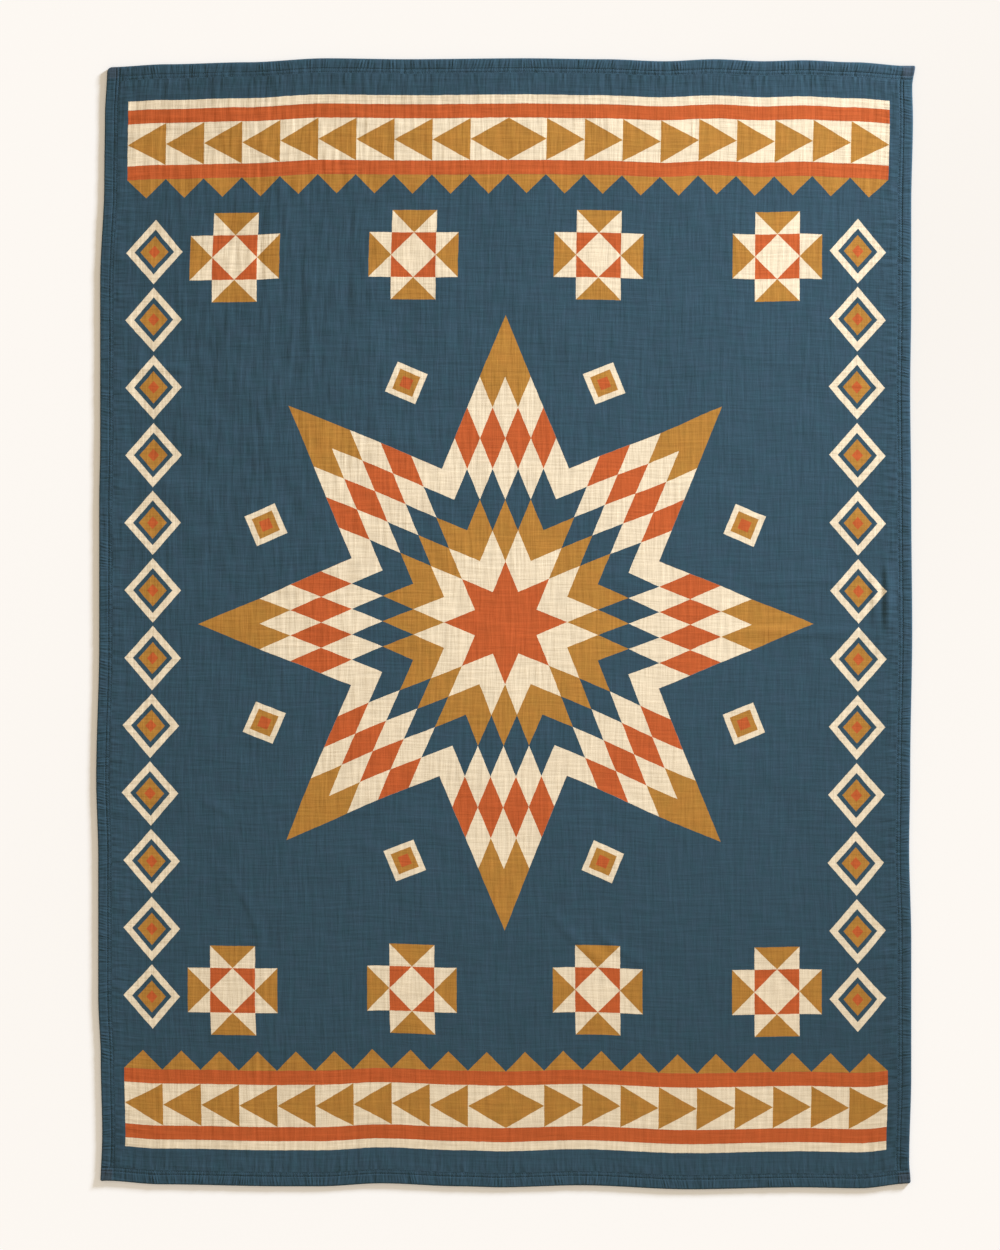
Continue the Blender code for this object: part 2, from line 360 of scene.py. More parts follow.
def faceHeight(s, t):
    # lift + thickness + crinkle + puckers; at each corner one hem runs through over the other
    insetS, insetT = insets(s, t)
    x, y = lyingPlace(s, t)
    drop = hem["edgeDrop"]
    extraS = hemThickness(insetS, np.where(s < 0, drop["left"], drop["right"]), insetT)
    extraT = hemThickness(insetT, np.where(t < 0, drop["bottom"], drop["top"]), insetS)
    extraS, extraT = extraS - cloth["thickness"], extraT - cloth["thickness"]
    inField = smooth(*hem["inner"], insetS)
    over = smooth(*hem["inner"][::-1], insetT)
    for (sideS, sideT), share in hem["endOver"].items():
        over = np.where((s * sideS > 0) & (t * sideT > 0), over * share, over)
    crossing = smooth(*hem["crossing"], insetT) * smooth(*hem["crossing"], insetS)
    both = np.cbrt(extraS**3 + extraT**3)
    inHem = extraS * (1 - over) + extraT * over
    extra = inHem * (1 - inField) + both * inField + hem["crossingExtra"] * crossing
    side = np.where(s < 0, puckerHeight("left", t, insetS), puckerHeight("right", t, insetS))
    end = np.where(t < 0, puckerHeight("bottom", s, insetT), puckerHeight("top", s, insetT))
    reach, least = hem["calm"]
    calm = smooth(0.0, reach, np.minimum(insetS, insetT))
    height = cloth["thickness"] + foldLift(x, y) * calm + extra
    height += crinkleHeight(s, t) * (least + (1 - least) * calm)
    height += side * (1 - over) + end * np.maximum(inField, over)
    return np.maximum(height, cloth["thinnest"])


def meshPiece(name, points, faceGroups, flatUv):
    # faceGroups: arrays of faces with the same number of corners. flatUv: s and t of each corner
    corners = np.concatenate([group.ravel() for group in faceGroups])
    totals = np.concatenate([np.full(len(group), group.shape[1]) for group in faceGroups])
    mesh = bpy.data.meshes.new(name)
    mesh.vertices.add(len(points))
    mesh.vertices.foreach_set("co", points.astype(np.float32).ravel())
    mesh.loops.add(len(corners))
    mesh.loops.foreach_set("vertex_index", corners.astype(np.int32))
    mesh.polygons.add(len(totals))
    mesh.polygons.foreach_set("loop_start", (np.cumsum(totals) - totals).astype(np.int32))
    mesh.update(calc_edges=True)
    mesh.validate()
    if flatUv is not None:
        layer = mesh.uv_layers.new(name="cloth")
        layer.data.foreach_set("uv", flatUv.astype(np.float32).ravel())
    mesh.shade_smooth()
    piece = bpy.data.objects.new(name, mesh)
    bpy.context.scene.collection.objects.link(piece)
    return piece


backShift = 10.0  # the underside's place in the map, clear of the printed face


def gridFaces(rows, columns, first=0, under=False):
    # quads of a grid whose points are numbered row by row
    corner = first + np.arange(rows - 1)[:, None] * columns + np.arange(columns - 1)[None, :]
    corner = corner.ravel()
    faces = np.stack([corner, corner + 1, corner + columns + 1, corner + columns], axis=1)
    return faces[:, ::-1] if under else faces


def fieldLines(size, cells, lowWide, highWide, closer):
    # each line has the same sum of density, 1 + more in a closer stretch, between it and the
    # next; a few short cells at each end are where the field dips under the hem
    edges = np.array([cloth["fieldInset"], *hem["dip"][0]])
    low, high = edges * lowWide - size / 2, (size / 2 - edges * highWide)[::-1]
    run = np.linspace(low[-1], high[0], 4001)
    fade = cloth["closerFade"]
    density = 1 + sum(more * smooth(start - fade, start + fade, run)
                      * smooth(end + fade, end - fade, run) for start, end, more in closer)
    total = np.concatenate([[0], np.cumsum(density[1:] + density[:-1])])
    lines = np.interp(np.linspace(0, total[-1], cells + 3 - 2 * len(edges)), total, run)
    return np.concatenate([low[:-1], lines, high[1:]])


def clothField():
    # the face as a fine grid, the underside as a coarse one, and a rim that joins them
    every = cloth["undersideEvery"]
    columns, rows = cloth["cellsAcross"] + 1, cloth["cellsAlong"] + 1
    wide = hem["wide"]
    s, t = np.meshgrid(
        fieldLines(cloth["width"], cloth["cellsAcross"], wide["left"], wide["right"],
                   cloth["closerAcross"]),
        fieldLines(cloth["length"], cloth["cellsAlong"], wide["bottom"], wide["top"],
                   cloth["closerAlong"]))
    x, y = lyingPlace(s, t)
    face = faceHeight(s, t) - cloth["tuck"] * np.interp(np.minimum(*insets(s, t)), *hem["dip"])
    under = (slice(None, None, every), slice(None, None, every))
    lift = np.maximum(foldLift(x, y), 0)[under] * cloth["undersideLift"] + cloth["undersideGap"]
    points = np.concatenate([
        np.stack([x, y, face], axis=-1).reshape(-1, 3),
        np.stack([x[under], y[under], lift], axis=-1).reshape(-1, 3),
    ])
    underColumns, underRows = (columns - 1) // every + 1, (rows - 1) // every + 1
    first = rows * columns

    def rim(faceLine, underLine):
        # faceLine runs with the cloth on its left, so the rim's faces look outwards
        low = np.arange(len(underLine) - 1)
        upper = faceLine[low[:, None] * every + np.arange(every, -1, -1)[None, :]]
        return np.concatenate([underLine[low][:, None], underLine[low + 1][:, None], upper], axis=1)

    faceIndex = np.arange(first).reshape(rows, columns)
    underIndex = first + np.arange(underRows * underColumns).reshape(underRows, underColumns)
    rims = [
        rim(faceIndex[0], underIndex[0]),
        rim(faceIndex[:, -1], underIndex[:, -1]),
        rim(faceIndex[-1, ::-1], underIndex[-1, ::-1]),
        rim(faceIndex[::-1, 0], underIndex[::-1, 0]),
    ]
    top = gridFaces(rows, columns)
    rest = [gridFaces(underRows, underColumns, first, under=True)] + rims
    flat = np.concatenate([
        np.stack([s, t], axis=-1).reshape(-1, 2),
        np.stack([s[under], t[under]], axis=-1).reshape(-1, 2),
    ])
    uv = np.concatenate([flat[top.ravel()]]
                        + [flat[group.ravel()] + (backShift, 0) for group in rest])
    return meshPiece("gauze_field", points, [top] + rest, uv)


def rolled(inset):
    # quarter round over the outer edge, 0 at the edge and 1 where the crown begins
    share = np.clip(inset / hem["roll"], 0, 1)
    return np.sqrt(np.maximum(1 - (1 - share) ** 2, 0))


# Lines of the mesh of a hem
strip = {
    "endStart": 0.0185,  # an end's hem begins this far in from the side, under or over its hem
    "tight": (0, 0.0003, 0.0008, 0.0015, 0.0024, 0.0034, 0.0045),  # lines near each end of it
    "evenStart": 0.0057,  # from here on, its lines are evenly spaced
    "station": 0.0010,
    # distances in of the lines that run along it, out to in on the face and back underneath
    "face": (0.0, 0.0003, 0.0009, 0.0018, 0.0027, 0.0039, 0.0053, 0.0068, 0.0086,
             0.0104, 0.0120, 0.0134, 0.0143, 0.0149, 0.0155, 0.0161, 0.0167, 0.0177,
             0.0188, 0.0195, 0.0200, 0.0206, 0.0212, 0.0218, 0.0224, 0.0232, 0.0245),
    "back": (0.0238, 0.0130, 0.0060, 0.0022, 0.0005),
    "backRoll": 0.9,  # height of the underside's outermost line, as a share of the edge's
    "lowest": 0.00005,
}


def hemStrip(name, side, isEnd):
    # a closed profile of the hem carried along one edge: up over the roll, in over the crown,
    # through both stitch grooves, down under the field and back out along the underside
    wide = hem["wide"]
    low, high = -cloth["length"] / 2, cloth["length"] / 2
    if isEnd:
        low = strip["endStart"] * wide["left"] - cloth["width"] / 2
        high = cloth["width"] / 2 - strip["endStart"] * wide["right"]
    tight, start = np.array(strip["tight"]), strip["evenStart"]
    count = int(round((high - low - 2 * start) / strip["station"]))
    even = np.linspace(low + start, high - start, count)
    along = np.concatenate([low + tight, even, high - tight[::-1]])
    inset = np.array(strip["face"] + strip["back"])
    onFace = np.arange(len(inset)) < len(strip["face"])
    w, i = np.meshgrid(along, inset, indexing="ij")
    across = (cloth["length"] if isEnd else cloth["width"]) / 2 - i * wide[name.split("_")[0]]
    s, t = (w, side * across) if isEnd else (side * across, w)
    x, y = lyingPlace(s, t)
    insetS, insetT = insets(s, t)
    roll = rolled(insetS) * rolled(insetT) if not isEnd else rolled(insetT)
    middleLine = hem["edgeHeight"]
    tuck = cloth["tuck"] * smooth(*hem["cover"], i)
    if isEnd:
        tuck = np.maximum(tuck, cloth["tuck"] * np.interp(insetS, *hem["dip"]))
    crown = faceHeight(s, t)
    z = np.where(onFace[None, :], middleLine + (crown - middleLine) * roll - tuck,
                 middleLine * (1 - roll) * strip["backRoll"])
    z = np.maximum(z, strip["lowest"])
    points = np.stack([x, y, z], axis=-1).reshape(-1, 3)
    around = len(inset)
    ring = np.arange(around)
    firstOfRing = np.arange(len(along) - 1)[:, None] * around
    here = (firstOfRing + ring).ravel()
    beside = (firstOfRing + (ring + 1) % around).ravel()
    quads = np.stack([here, beside, beside + around, here + around], axis=1)
    caps = np.stack([ring[::-1], (len(along) - 1) * around + ring], axis=0)
    # the profile runs inwards, so two of the four edges are turned the other way
    if (side > 0) == isEnd:
        quads = quads[:, ::-1]
        caps = caps[:, ::-1]
    flat = np.stack([s, t], axis=-1).reshape(-1, 2)
    hidden = ~np.tile(onFace, len(along))[quads].all(axis=1)
    uvQuads = flat[quads.ravel()] + np.repeat(hidden, 4)[:, None] * np.array([backShift, 0])
    uv = np.concatenate([uvQuads, flat[caps.ravel()] + (backShift, 0)])
    return meshPiece(name, points, [quads, caps], uv)


stitches = {
    "pitch": 0.0036,
    "length": 0.0029,
    "radius": 0.00033,
    "thinEnd": 0.55,  # a stitch's radius at its ends, as a share of that
    "arch": 0.00042,
    "sunk": 0.00012,
    "edgeStop": 0.0040,  # how far from the edge a row ends
    "underStop": 0.0230,  # and where the other hem lies over it
    "waver": 0.00025,  # how far a row wanders, and how far each stitch is off it
    "jitter": 0.00008,
    "seed": 71,
}


def stitchRow(s, t, wayS, wayT):
    # short four-sided arches along a row: height sin(pi along), thinning at both ends
    along = np.linspace(0, 1, 5)
    ring = np.array([[1, 0], [0, 1], [-1, 0], [0, -1]])
    offset = (along - 0.5) * stitches["length"]
    sAll = s[:, None] + offset[None, :] * wayS
    tAll = t[:, None] + offset[None, :] * wayT
    x, y = lyingPlace(sAll, tAll)
    ends = faceHeight(sAll[:, [0, -1]], tAll[:, [0, -1]])
    z = ends[:, :1] * (1 - along) + ends[:, 1:] * along
    z = z - stitches["sunk"] + stitches["arch"] * np.sin(np.pi * along)[None, :]
    thin = stitches["thinEnd"]
    thick = stitches["radius"] * (thin + (1 - thin) * np.sin(np.pi * along))
    points = np.stack([x, y, z], axis=-1)[:, :, None, :].repeat(4, axis=2)
    points[..., 0] += ring[None, None, :, 0] * thick[None, :, None] * -wayT
    points[..., 1] += ring[None, None, :, 0] * thick[None, :, None] * wayS
    points[..., 2] += ring[None, None, :, 1] * thick[None, :, None]
    return points.reshape(-1, 3)


def stitching():
    # each row runs to the edge where its hem lies over the other, and stops short where under;
    # it wanders by waver sin(turns along + start)
    rowsOfPoints = []
    halfS, halfT = cloth["width"] / 2, cloth["length"] / 2
    rng = np.random.default_rng(stitches["seed"])
    endOver = hem["endOver"]

    def evenPlaces(half, lowOver, highOver):
        low, high = (stitches["edgeStop" if over else "underStop"] for over in (lowOver, highOver))
        return np.arange(low - half, half - high, stitches["pitch"])

    def wander(along, turns, start):
        wave = stitches["waver"] * np.sin(along * turns + start)
        return wave + rng.normal(0, stitches["jitter"], len(along))

    for inset in (hem["outerStitch"][0], hem["innerStitch"][0]):
        for side, flank, end in ((-1, "left", "bottom"), (1, "right", "top")):
            t = evenPlaces(halfT, not endOver[side, -1], not endOver[side, 1])
            s = side * (halfS - inset * hem["wide"][flank]) + wander(t, 23, inset * 900 + side)
            rowsOfPoints.append(stitchRow(s, t, 0, 1))
            s = evenPlaces(halfS, endOver[-1, side], endOver[1, side])
            t = side * (halfT - inset * hem["wide"][end]) + wander(s, 27, inset * 700 + side)
            rowsOfPoints.append(stitchRow(s, t, 1, 0))
    points = np.concatenate(rowsOfPoints)
    count = len(points) // 20  # a stitch has five rings of four points
    one = []
    for step in range(4):
        for corner in range(4):
            a, b = step * 4 + corner, step * 4 + (corner + 1) % 4
            one.append([a, b, b + 4, a + 4])
    quads = np.array(one + [[3, 2, 1, 0], [16, 17, 18, 19]])
    faces = (np.arange(count)[:, None, None] * 20 + quads[None]).reshape(-1, 4)
    return meshPiece("topstitching", points, [faces], None)


class Wire:
    # a socket that sums, products and quotients can be written with
    def __init__(self, graph, socket):
        self.graph = graph
        self.socket = socket

    def __add__(self, other):
        return self.graph.math("ADD", self, other)

    def __radd__(self, other):
        return self.graph.math("ADD", other, self)

    def __sub__(self, other):
        return self.graph.math("SUBTRACT", self, other)

    def __rsub__(self, other):
        return self.graph.math("SUBTRACT", other, self)

    def __mul__(self, other):
        return self.graph.math("MULTIPLY", self, other)

    def __truediv__(self, other):
        return self.graph.math("DIVIDE", self, other)

    def __rtruediv__(self, other):
        return self.graph.math("DIVIDE", other, self)

    def __abs__(self):
        return self.graph.math("ABSOLUTE", self)


class Graph:
    # one material's nodes
    def __init__(self, name):
        self.material = bpy.data.materials.new(name)
        self.material.use_nodes = True
        self.tree = self.material.node_tree
        self.surface = self.tree.nodes["Principled BSDF"]

    def node(self, kind, settings=None, sockets=None, output=0):
        # settings go first, a ramp's stops among them, then the sockets' values or links
        made = self.tree.nodes.new(kind)
        for key, value in (settings or {}).items():
            if key == "stops":
                elements = made.color_ramp.elements
                while len(elements) < len(value):
                    elements.new(1)
                for element, (place, colour) in zip(elements, value):
                    element.position = place
                    element.color = colour
            elif key == "interpolation":
                made.color_ramp.interpolation = value
            else:
                setattr(made, key, value)
        self.feed(made, sockets or {})
        return Wire(self, made.outputs[output])

    def feed(self, made, sockets):
        for key, value in sockets.items():
            if isinstance(value, Wire):
                self.tree.links.new(value.socket, made.inputs[key])
            else:
                made.inputs[key].default_value = value

    def math(self, operation, *values, clamp=False):
        return self.node("ShaderNodeMath", {"operation": operation, "use_clamp": clamp},
                         dict(enumerate(values)))

    def least(self, first, *others):
        for other in others:
            first = self.math("MINIMUM", first, other)
        return first

    def most(self, first, second):
        return self.math("MAXIMUM", first, second)

    def vector(self, operation, *values):
        return self.node("ShaderNodeVectorMath", {"operation": operation},
                         dict(enumerate(values)))

    def vectorValue(self, operation, *values):
        # a Vector Math node's second output, for lengths and dot products
        return self.node("ShaderNodeVectorMath", {"operation": operation},
                         dict(enumerate(values)), output=1)

    def combine(self, x, y, z=0.0):
        return self.node("ShaderNodeCombineXYZ", None, {"X": x, "Y": y, "Z": z})

    def apart(self, vector):
        # a vector's first two parts
        x = self.node("ShaderNodeSeparateXYZ", None, {0: vector})
        return x, Wire(self, x.socket.node.outputs[1])

    def mix(self, share, first, second, blend="MIX"):
        # inputs 0, 6 and 7 of a colour Mix are the factor, A and B, and output 2 is the colour
        return self.node("ShaderNodeMix", {"data_type": "RGBA", "blend_type": blend},
                         {0: share, 6: first, 7: second}, output=2)

    def noise(self, vector, scale, detail=2.0, rough=0.5, output=0):
        return self.node("ShaderNodeTexNoise", None,
                         {"Vector": vector, "Scale": scale, "Detail": detail,
                          "Roughness": rough}, output=output)

    def finish(self, sockets):
        self.feed(self.surface, sockets)
        return self.material


colours = {
    "blue": (0.036, 0.076, 0.104, 1),
    "cream": (0.852, 0.695, 0.483, 1),
    "ochre": (0.457, 0.205, 0.036, 1),
    "rust": (0.538, 0.107, 0.026, 1),
    "cornerTint": (0.080, 0.072, 0.085, 1),
    "thread": (0.028, 0.058, 0.080, 1),
}

# The printed quilt, in metres of flat cloth
quilt = {
    "softEdge": 0.0006,
    "waver": 0.0014,
    "waverScale": 75.0,
    # end bands: half their width, and where each row lies along the cloth
    "bandSide": 0.598,
    "creamStripe": (0.8105, 0.8245),
    "outerStripe": (0.7885, 0.8105),
    "geeseRow": (0.7225, 0.7885),
    "goosePitch": 0.0598,
    "gooseLean": 0.88,  # cosine of the slope of a goose's wings
    "innerStripe": (0.7005, 0.7225),
    "teeth": (0.6705, 0.7005),
    "toothPitch": 0.0598,
    "starSide": 0.26,  # side of the large diamond that makes each arm
    "starRings": ["rust", "cream", "ochre", "blue", "cream", "rust", "cream", "ochre", "ochre"],
    "gapSquareAt": 0.405,  # how far from the middle the squares between the arms are
    "gapSquares": [("cream", 0.036), ("ochre", 0.024), ("rust", 0.012)],  # half diagonals
    "blockAt": (0.145, 0.425, 0.575),  # both columns of blocks, and their row
    "blockHalf": 0.070,
    "chainAt": 0.551,
    "chainHalf": (0.044, 0.0505),  # half a diamond across and along
    "chainPitch": 0.1065,
    "chainEnd": 0.639,
    # diamonds of the chain, one inside another, as shares of the outermost
    "chainDiamonds": [("cream", 1.0), ("blue", 0.70), ("ochre", 0.50), ("rust", 0.20)],
}


def quiltColour(graph, uv):
    # masks come from signed distances, so that every printed edge has the same softness
    wander = graph.noise(uv, quilt["waverScale"], output=1)
    wander = graph.vector("SUBTRACT", wander, (0.5, 0.5, 0.5))
    wander = graph.node("ShaderNodeVectorMath", {"operation": "SCALE"},
                        {0: wander, "Scale": quilt["waver"]})
    s, t = graph.apart(graph.vector("ADD", uv, wander))
    a, b = abs(s), abs(t)
    diagonal = 0.7071  # turns a sum of distances across and along into one across a slope

    def inside(distance):
        return graph.math("MULTIPLY_ADD", distance, 1 / quilt["softEdge"], 0.5, clamp=True)

    def between(low, high):
        return graph.least(b - low, high - b, quilt["bandSide"] - a)

    def painted(under, distance, name):
        return graph.mix(inside(distance), under, colours[name])

    shown = graph.node("ShaderNodeRGB")
    shown.socket.default_value = colours["blue"]

    # end bands: teeth below, then stripes and the row of geese that fly out from the middle
    low, high = quilt["teeth"]
    pitch = quilt["toothPitch"]
    fromTip = abs(graph.math("FRACT", s / pitch) - 0.5) * (2 * (high - low))
    shown = painted(shown, graph.least(b - low - fromTip, between(low, high)), "ochre")
    for name, stripe in (("cream", "creamStripe"), ("rust", "outerStripe"), ("cream", "geeseRow")):
        shown = painted(shown, between(*quilt[stripe]), name)
    low, high = quilt["geeseRow"]
    alongGoose = graph.math("FRACT", a / quilt["goosePitch"])
    wing = (1 - alongGoose) * ((high - low) / 2) - abs(b - (low + high) / 2)
    wing = wing * quilt["gooseLean"]
    shown = painted(shown, graph.least(wing, quilt["bandSide"] - a), "ochre")
    shown = painted(shown, between(*quilt["innerStripe"]), "rust")

    # side borders: a chain of diamonds, one inside another
    halfAcross, halfAlong = quilt["chainHalf"]
    chainAlong = abs(graph.math("FRACT", b / quilt["chainPitch"]) - 0.5) * quilt["chainPitch"]
    diamond = abs(a - quilt["chainAt"]) * (1 / halfAcross) + chainAlong * (1 / halfAlong)
    slope = halfAcross * halfAlong / np.hypot(halfAcross, halfAlong)
    for name, size in quilt["chainDiamonds"]:
        distance = graph.least((size - diamond) * slope, quilt["chainEnd"] - b)
        shown = painted(shown, distance, name)

    # blocks: a toothed star of eight points round a square
    inner, outer, up = quilt["blockAt"]
    acrossBlock = abs(abs(a - (inner + outer) / 2) - (outer - inner) / 2)
    alongBlock = abs(b - up)
    big = graph.most(acrossBlock, alongBlock)
    small = graph.least(acrossBlock, alongBlock)
    half = quilt["blockHalf"]
    arm = graph.least(half - big, half / 2 - small)
    shown = painted(shown, arm, "ochre")
    shown = painted(shown, graph.least(arm, (small - big + half / 2) * diagonal), "cream")
    shown = painted(shown, half / 2 - big, "rust")
    shown = painted(shown, (half / 2 - big - small) * diagonal, "cream")

    # large star: folded by its mirror lines into half an arm, with p along the arm's axis and
    # q off it, which rows of diamonds fill, i and j being 1 at the arm's outer sides
    far = graph.most(a, b)
    near = graph.least(a, b)
    halfArm = np.radians(22.5)
    cosArm, sinArm = float(np.cos(halfArm)), float(np.sin(halfArm))
    over = graph.most(near * cosArm - far * sinArm, 0.0) * 2
    p = far + over * sinArm
    q = abs(near - over * cosArm)
    side = quilt["starSide"]
    i = p * (1 / (2 * side * cosArm)) + q * (1 / (2 * side * sinArm))
    j = p * (1 / (2 * side * cosArm)) - q * (1 / (2 * side * sinArm))
    rings = len(quilt["starRings"])
    rows = (rings + 1) // 2
    ring = graph.math("FLOOR", i * rows) + graph.math("FLOOR", j * rows)
    # each stop lies a little before its ring
    stops = [(max(k / rings - 0.02, 0.0), colours[name])
             for k, name in enumerate(quilt["starRings"])]
    ringColour = graph.node("ShaderNodeValToRGB", {"interpolation": "CONSTANT", "stops": stops},
                            {0: ring * (1 / rings)})
    shown = graph.mix(inside((1 - i) * (side * diagonal)), shown, ringColour)
    toGap = p * cosArm + q * sinArm
    offGap = q * cosArm - p * sinArm
    point = abs(toGap - quilt["gapSquareAt"]) + abs(offGap)
    for name, size in quilt["gapSquares"]:
        shown = painted(shown, (size - point) * diagonal, name)
    return shown


gauze = {
    # slubs and puckers: cycles a metre across and along, and the noise's detail and roughness
    "ribs": (165, 15, 2.4, 0.55),
    "cords": (16, 185, 2.4, 0.55),
    "drift": (50, 38, 2.0, 0.6),
    "sidePucker": (26, 115, 1.5, 0.5),
    "endPucker": (115, 26, 1.5, 0.5),
    # even in all ways: cycles a metre, detail and roughness
    "grain": (900.0, 2.0, 0.6),
    "mottle": (9.0, 4.0, 0.55),
    # the tones of the ribs, cords and grain are partly the yarn's own and partly painted shade,
    # darker in the hollows of their bump
    "ribColour": 0.32,
    "cordColour": 0.28,
    "mottleColour": 0.12,
    "grainColour": 0.10,
    "tint": 0.34,  # how far the blue drifts between a greener and a redder dye
    "tintInBlue": 0.35,  # the share of it that the blue part takes
    "tintByRed": -1.1,  # a colour drifts by 1 plus this times its red part, so cream hardly does
    "slope": (0.27, 0.20),  # how much stronger the weave shows, a metre to the left and upwards
    "slopeMost": 0.5,
    "weave": 1.1,  # how strongly the weave shows in the middle
    "ribHeight": 0.00070,
    "cordHeight": 0.00062,
    "grainHeight": 0.00008,
    "marginReach": (0.085, 0.030),  # puckers fade out from the second distance in to the first
    "marginHeight": 0.00210,
    "corner": (0.0185, 0.004, 0.30),  # the crossing's size, soft edge and share of its tint
    "roughness": (0.86, 0.12),  # its middle, and how much it changes with the cords
    "specular": 0.15,
}


def gauzeMaterial():
    # the print times the tone of its threads, which is partly painted shade in the hollows of the
    # slubs, raised by the slubs and puckers
    graph = Graph("printed_gauze")
    uv = graph.node("ShaderNodeUVMap", {"uv_map": "cloth"})
    shown = quiltColour(graph, uv)
    s, t = graph.apart(uv)
    halfS, halfT = cloth["width"] / 2, cloth["length"] / 2

    def slubs(name):
        across, along, detail, rough = gauze[name]
        return graph.noise(graph.combine(s * across, t * along), 1.0, detail, rough)

    # both hems of a corner crossing show a greyer tint through the worn folds
    size, soft, share = gauze["corner"]
    cornerS = graph.math("MULTIPLY_ADD", abs(s) - (halfS - size), 1 / soft, 0.5, clamp=True)
    cornerT = graph.math("MULTIPLY_ADD", abs(t) - (halfT - size), 1 / soft, 0.5, clamp=True)
    onFace = graph.math("LESS_THAN", abs(s), 1.0)
    shown = graph.mix(cornerS * cornerT * onFace * share, shown, colours["cornerTint"])

    # slubs up and across the weave, long in one way and narrow in the other: the tone is
    # 1 + the sum of each noise less its middle, times how strongly it shows. The same ribs, cords
    # and grain raise the bump, so the tone is partly the yarn's own and partly painted shade,
    # darker in the hollows and paler on the rises.
    ribs, cords = slubs("ribs"), slubs("cords")
    grain = graph.noise(uv, *gauze["grain"])
    mottle = graph.noise(uv, *gauze["mottle"])
    toLeft, upwards = gauze["slope"]
    slope = graph.most(t * upwards - s * toLeft, -gauze["slopeMost"])
    weave = graph.least(slope, gauze["slopeMost"]) + gauze["weave"]
    red = graph.node("ShaderNodeSeparateColor", None, {"Color": shown})
    drift = slubs("drift") - 0.5
    drift = drift * graph.math("MULTIPLY_ADD", red, gauze["tintByRed"], 1.0, clamp=True)
    tone = (((ribs - 0.5) * gauze["ribColour"] + (cords - 0.5) * gauze["cordColour"]) * weave
            + (mottle - 0.5) * gauze["mottleColour"] + (grain - 0.5) * gauze["grainColour"] + 1.0)
    # the hue's drift times the tone, which is partly painted shade in the weave's hollows
    dyeAndPaintedShade = graph.combine(tone * (drift * gauze["tint"] + 1.0), tone,
                        tone * (drift * (gauze["tint"] * gauze["tintInBlue"]) + 1.0))
    shown = graph.mix(1.0, shown, dyeAndPaintedShade, blend="MULTIPLY")

    # puckers that the hem's stitches draw into the margin: they run in from each edge and
    # fade as the square of how near it is
    low, high = gauze["marginReach"]
    steep = 1 / (low - high)
    sideNear = graph.math("MULTIPLY_ADD", abs(s) - (halfS - low), steep, 0, clamp=True)
    endNear = graph.math("MULTIPLY_ADD", abs(t) - (halfT - low), steep, 0, clamp=True)
    margin = (sideNear * sideNear * slubs("sidePucker")
              + endNear * endNear * slubs("endPucker")) * gauze["marginHeight"]
    height = ((ribs * gauze["ribHeight"] + cords * gauze["cordHeight"]) * weave
              + grain * gauze["grainHeight"] + margin)
    bump = graph.node("ShaderNodeBump", None,
                      {"Strength": 1.0, "Distance": 1.0, "Height": height})
    middleRough, change = gauze["roughness"]
    return graph.finish({
        "Base Color": shown,
        "Roughness": middleRough + (cords - 0.5) * change,
        "Specular IOR Level": gauze["specular"],
        "Normal": bump,
    })


thread = {
    "twist": (1600.0, 2.0, 0.6),  # cycles a metre, detail and roughness of its twist
    "paler": 1.5,  # how much paler the raised top of the twist is painted, a painted highlight
    "twistHeight": 0.0001,
    "bump": 0.6,
    "roughness": (0.7, 0.15),  # its least, and how much it changes with the twist
    "specular": 0.3,
}


def threadMaterial():
    # the thread's blue with a painted highlight: paler where the noise of its twist is high, which
    # is also where it is higher
    graph = Graph("blue_thread")
    twist = graph.noise(graph.node("ShaderNodeTexCoord", output=3), *thread["twist"])
    # painted highlight: the thread's blue made paler for the raised tops of the twist
    paintedHighlight = tuple(part * thread["paler"] for part in colours["thread"][:3]) + (1,)
    bump = graph.node("ShaderNodeBump", None, {"Strength": thread["bump"], "Distance": 1.0,
                                               "Height": twist * thread["twistHeight"]})
    leastRough, change = thread["roughness"]
    return graph.finish({
        "Base Color": graph.mix(twist, colours["thread"], paintedHighlight),
        "Roughness": leastRough + twist * change,
        "Specular IOR Level": thread["specular"],
        "Normal": bump,
    })


printedGauze = gauzeMaterial()
blueThread = threadMaterial()

field = clothField()
print("gauze field:", len(field.data.polygons), "faces")
hems = [
    hemStrip("left_hem", -1, False),
    hemStrip("right_hem", 1, False),
    hemStrip("bottom_hem", -1, True),
    hemStrip("top_hem", 1, True),
]
print("hems:", sum(len(piece.data.polygons) for piece in hems), "faces")
topstitching = stitching()
print("topstitching:", len(topstitching.data.polygons), "faces")

for piece in [field] + hems:
    piece.data.materials.append(printedGauze)
topstitching.data.materials.append(blueThread)
for piece in [field, topstitching] + hems:
    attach(piece, "root")
for piece in [field] + hems:
    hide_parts("blanket")
hems + [topstitching]

studio = {
    "floorTone": (0.9763, 0.9322, 0.8815),  # what the floor shows, even all over
    "floorPalest": 0.95,
    "floorSize": 40.0,
    "worldColour": (1.0, 0.89, 0.72, 1),
    "worldStrength": 0.51,
    "keyDistance": 5.6,
    "keyElevation": 18.0,
    "keyAzimuth": 40.0,
    "keySize": 1.0,
    "keyPower": 65.3,
    "keyColour": (0.87, 0.98, 1.15),
    "keySpread": 62.0,
    "keyNear": 1.36,  # how much a wide lamp loses close up, times size over distance squared
    "cameraHeight": 4.62,
    "cameraPlace": (-0.0083, -0.0019),
    "cameraLens": 85.0,
    "cameraSensor": 36.0,
}


def keyPlace():
    # the lamp's place, and the way it is seen from the middle of the blanket
    elevation, azimuth = np.radians([studio["keyElevation"], studio["keyAzimuth"]])
    way = np.array([np.cos(elevation) * np.cos(azimuth),
                    np.cos(elevation) * np.sin(azimuth), np.sin(elevation)])
    return way * studio["keyDistance"], way


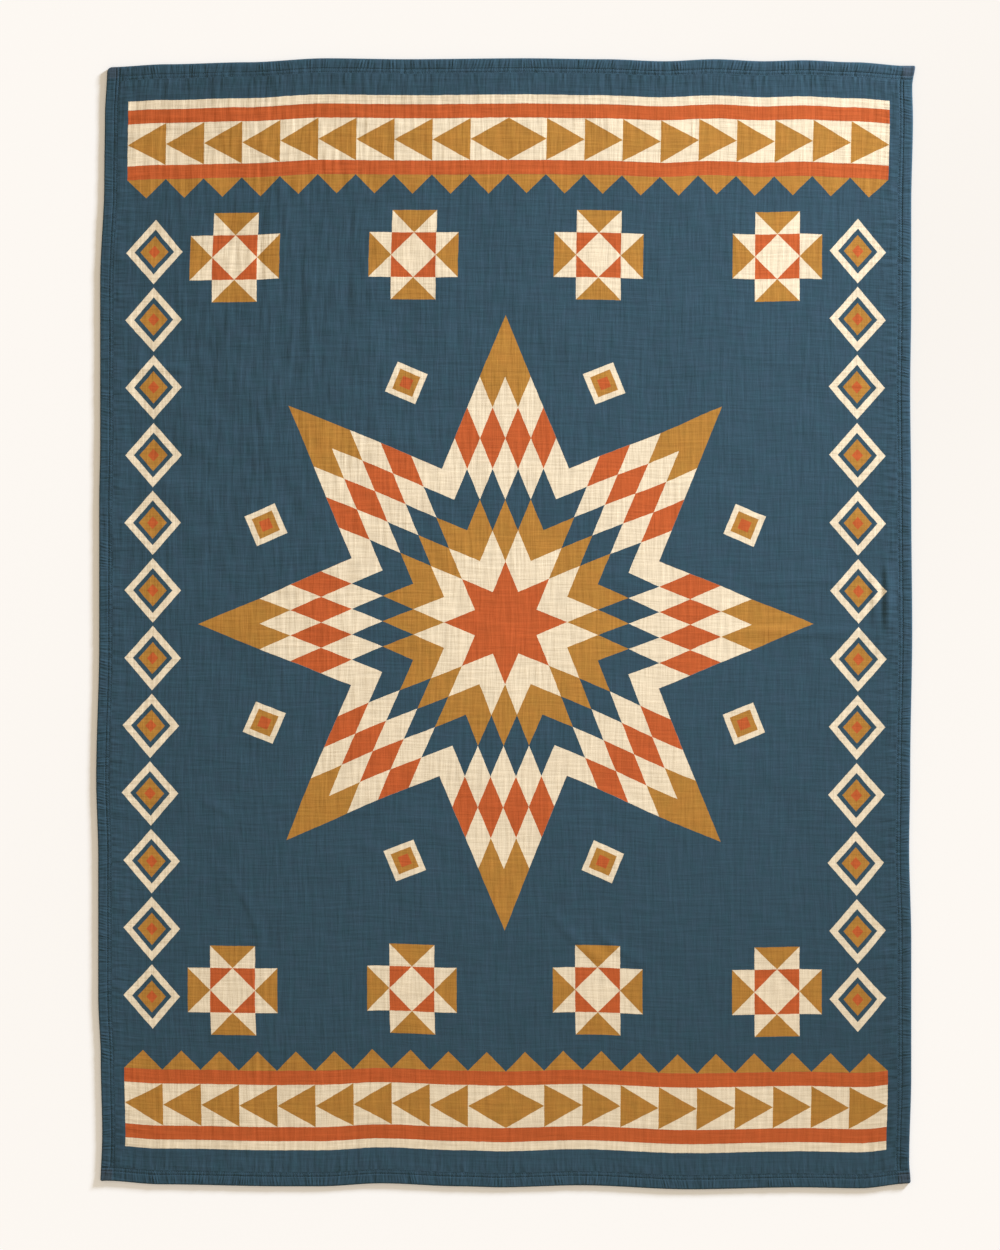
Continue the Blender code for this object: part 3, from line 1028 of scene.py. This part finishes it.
def floorStage():
    # paint that is the floor's tone over the light that falls on it, so it looks even all over,
    # and a glow for what the palest paint lacks
    half = studio["floorSize"] / 2
    mesh = bpy.data.meshes.new("floor")
    mesh.from_pydata([(-half, -half, 0), (half, -half, 0), (half, half, 0), (-half, half, 0)],
                     [], [(0, 1, 2, 3)])
    floor = bpy.data.objects.new("floor", mesh)
    bpy.context.scene.collection.objects.link(floor)
    graph = Graph("pale_floor")
    place = graph.node("ShaderNodeTexCoord", output=3)
    key, way = keyPlace()
    spread = np.radians(studio["keySpread"] / 2)
    towards = graph.vector("SUBTRACT", tuple(key), place)
    distance = graph.vectorValue("LENGTH", towards)
    cosine = graph.vectorValue("DOT_PRODUCT", towards, tuple(way)) / distance
    sine = graph.math("SQRT", graph.most(1 - cosine * cosine, 0.0))
    grid = graph.most(float(np.tan(spread)) - sine / cosine, 0.0)
    # light on the floor: lamp height over distance cubed, facing, and the box's grid, a little
    # less close up because the lamp is wide
    square = distance * distance
    near = 1 - studio["keyNear"] * studio["keySize"] ** 2 / square
    falloff = cosine * grid / (square * distance) * near
    falloff = falloff * float(key[2] / (np.tan(spread) - spread) * studio["keyPower"] / np.pi**2)
    paint, glow = [], []
    for tone, lamp, sky in zip(studio["floorTone"], studio["keyColour"], studio["worldColour"]):
        light = falloff * lamp + sky * studio["worldStrength"]
        paint.append(graph.least(tone / light, studio["floorPalest"]))
        glow.append(graph.most(tone - paint[-1] * light, 0.0))
    mesh.materials.append(graph.finish({
        "Base Color": graph.combine(*paint),
        "Roughness": 1.0,
        "Specular IOR Level": 0.0,
        "Emission Color": graph.combine(*glow),
        "Emission Strength": 1.0,
    }))


def softLight():
    # a square lamp behind a grid, turned to face the middle of the blanket
    elevation, azimuth = np.radians([studio["keyElevation"], studio["keyAzimuth"]])
    lamp = bpy.data.lights.new("key", "AREA")
    lamp.shape = "SQUARE"
    lamp.size = studio["keySize"]
    lamp.energy = studio["keyPower"]
    lamp.color = studio["keyColour"]
    lamp.spread = np.radians(studio["keySpread"])
    key = bpy.data.objects.new("key", lamp)
    key.location = keyPlace()[0]
    key.rotation_euler = (np.pi / 2 - elevation, 0, azimuth + np.pi / 2)
    bpy.context.scene.collection.objects.link(key)


def overheadCamera():
    # an unturned camera looks straight down
    lens = bpy.data.cameras.new("camera")
    lens.lens = studio["cameraLens"]
    lens.sensor_fit = "VERTICAL"
    lens.sensor_height = studio["cameraSensor"]
    camera = bpy.data.objects.new("camera", lens)
    camera.location = (*studio["cameraPlace"], studio["cameraHeight"])
    bpy.context.scene.collection.objects.link(camera)
    bpy.context.scene.camera = camera


floorStage()
softLight()
overheadCamera()
world = bpy.data.worlds.new("studio")
world.use_nodes = True
world.node_tree.nodes["Background"].inputs["Color"].default_value = studio["worldColour"]
world.node_tree.nodes["Background"].inputs["Strength"].default_value = studio["worldStrength"]
bpy.context.scene.world = world
bpy.context.scene.view_settings.view_transform = "Standard"
print("studio ready")
